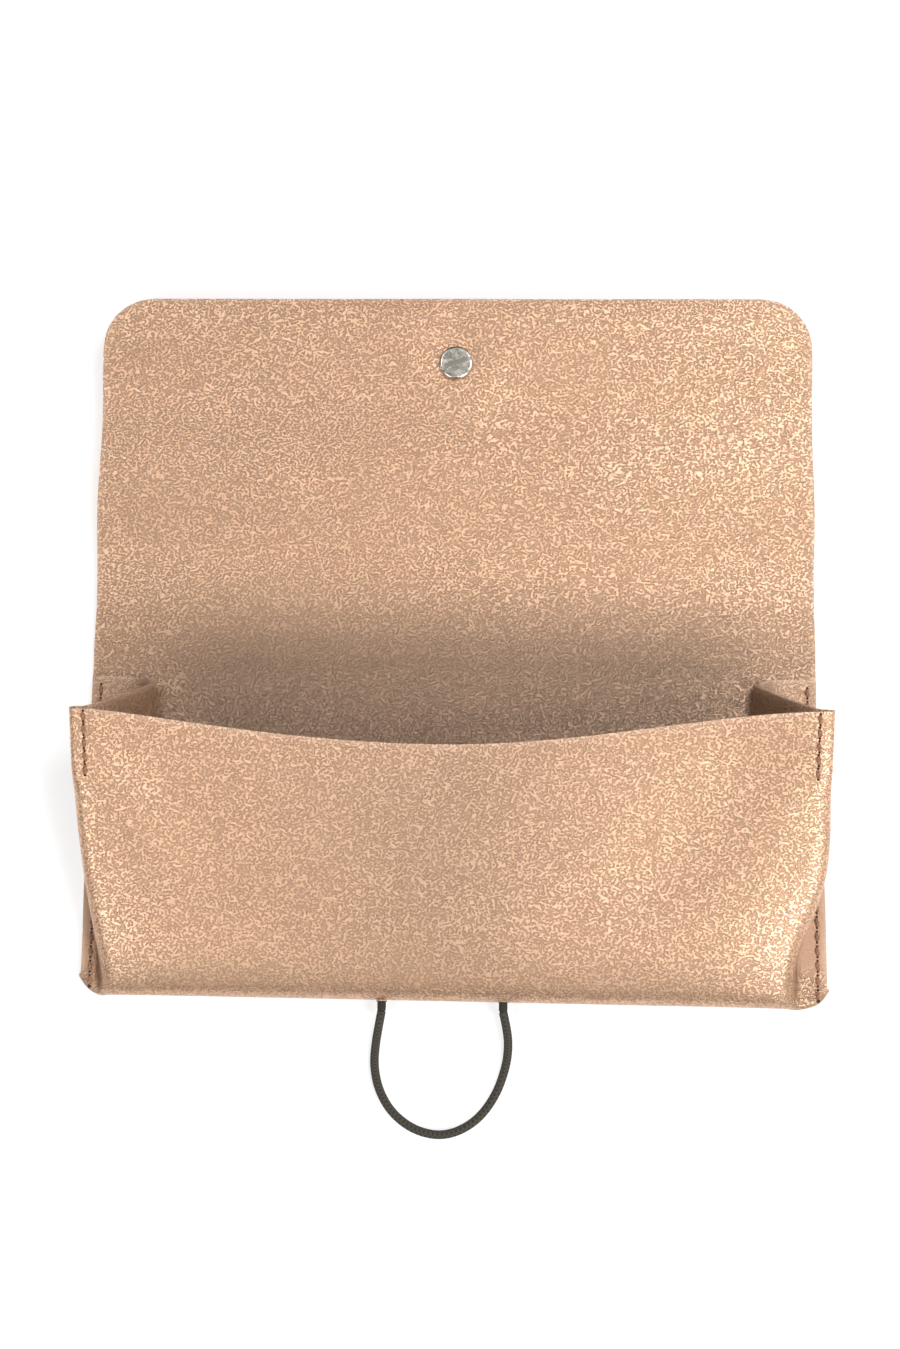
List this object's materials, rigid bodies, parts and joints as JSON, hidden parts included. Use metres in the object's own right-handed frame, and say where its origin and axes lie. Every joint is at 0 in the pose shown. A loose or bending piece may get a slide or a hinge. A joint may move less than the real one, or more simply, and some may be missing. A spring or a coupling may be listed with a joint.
{
  "type": "soft pouch glasses case",
  "caption": "Soft leather pouch for glasses with folded side gussets, a fold-over flap, a ball stud and an elastic loop that hooks over the stud.",
  "frame": {"origin": "middle of the back panel's outer face, which the case lies on", "axes": "+X across the case, +Y from the folded base to the flap's free edge, +Z out of the back towards the front panel"},
  "size_m": [0.172, 0.2014, 0.0265],
  "materials": {
    "leather": "metallic rose gold foil over a fine wrinkled grain",
    "nickel": "polished nickel, lightly brushed in the slot",
    "elastic": "matt braided round elastic",
    "thread": "matt twisted sewing thread"
  },
  "bodies": {
    "pouch": {"back_panel": "leather", "base_fold": "leather", "gusset_left": "leather", "gusset_right": "leather", "elastic_knots": "elastic", "thread_back_left": "thread", "thread_back_right": "thread"},
    "front": {"front_panel": "leather", "thread_front_left": "thread", "thread_front_right": "thread"},
    "flap_bridge": {"flap_bridge": "leather"},
    "flap": {"flap_panel": "leather", "stud_screw": "nickel", "stud_button": "nickel"},
    "loop": {"elastic_loop": "elastic"}
  },
  "joints": [
    {"name": "mouth", "type": "hinge", "parent": "pouch", "child": "front", "pos_m": [0, -0.03675, 0.0039], "axis": [-1, 0, 0], "range_deg": [0, 14], "stiffness_Nm_per_rad": 0.2, "deforming": ["gusset_left", "gusset_right"]},
    {"name": "flap_fold", "type": "hinge", "parent": "pouch", "child": "flap_bridge", "pos_m": [0, 0.03675, 0.0013], "axis": [1, 0, 0], "range_deg": [0, 93.4]},
    {"name": "flap_bend", "type": "hinge", "parent": "flap_bridge", "child": "flap", "pos_m": [0, 0.0671, 0.00372], "axis": [1, 0, 0], "range_deg": [0, 99.1]},
    {"name": "loop_swing", "type": "hinge", "parent": "pouch", "child": "loop", "pos_m": [-0.0014, -0.0419, 0.0039], "axis": [-1, 0, 0], "range_deg": [0, 90]}
  ],
  "couplings": [
    {"joint": "flap_bend", "follows": "flap_fold", "ratio": 1.06}
  ]
}
